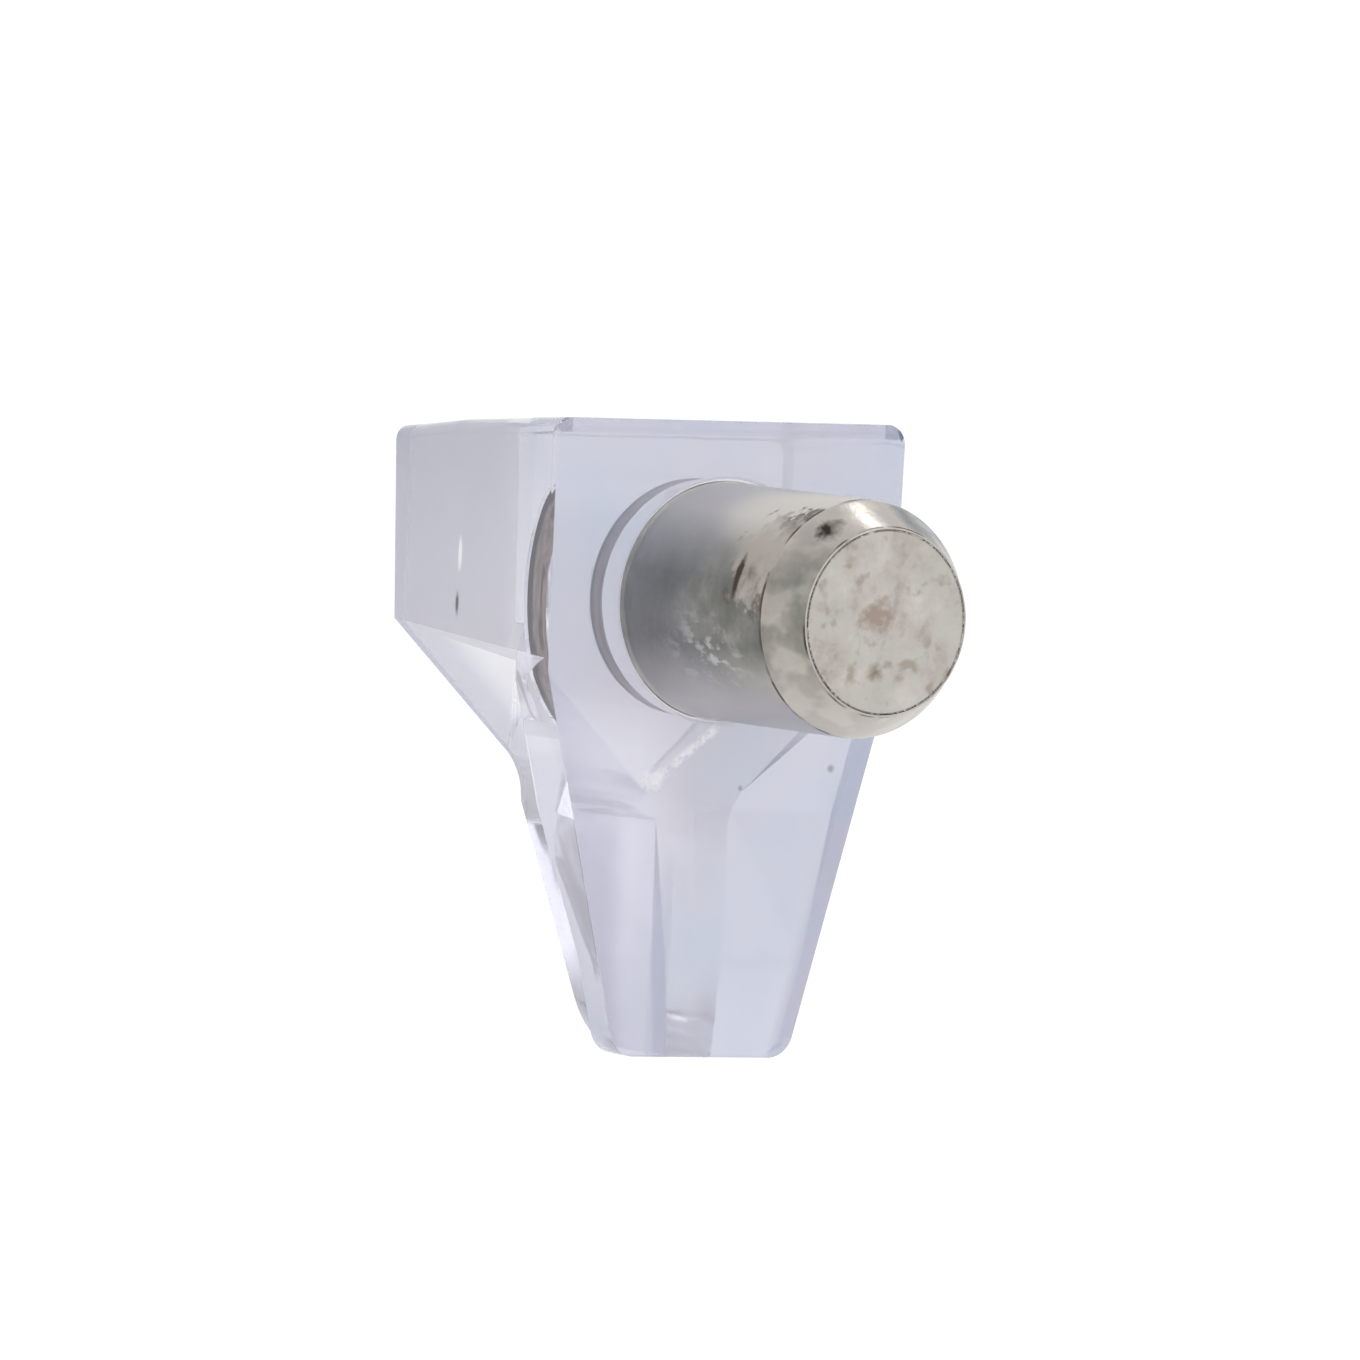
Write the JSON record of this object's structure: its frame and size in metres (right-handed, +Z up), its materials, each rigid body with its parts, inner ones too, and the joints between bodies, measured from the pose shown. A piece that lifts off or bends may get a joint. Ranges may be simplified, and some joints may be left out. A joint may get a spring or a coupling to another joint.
{
  "type": "shelf support pin",
  "caption": "Clear moulded shelf support with a flat ledge, tapering plate, V-shaped keel and rib, and a round steel pin for a 5 mm cabinet hole.",
  "frame": {"origin": "on the pin's axis, at the face of the body that lies against the cabinet side", "axes": "-Y along the pin into the cabinet side, +Y out along the ledge under the shelf, +Z up, +X to the right when facing the shelf from the cabinet side"},
  "size_m": [0.0086, 0.0135, 0.0134],
  "materials": {
    "clear_plastic": "clear moulded plastic with a faint lavender tint, smooth",
    "nickel_plated_steel": "nickel-plated steel, worn at the tip, with small pits in its end face"
  },
  "bodies": {
    "root": {"support_body": "clear_plastic", "steel_pin": "nickel_plated_steel"}
  },
  "joints": []
}
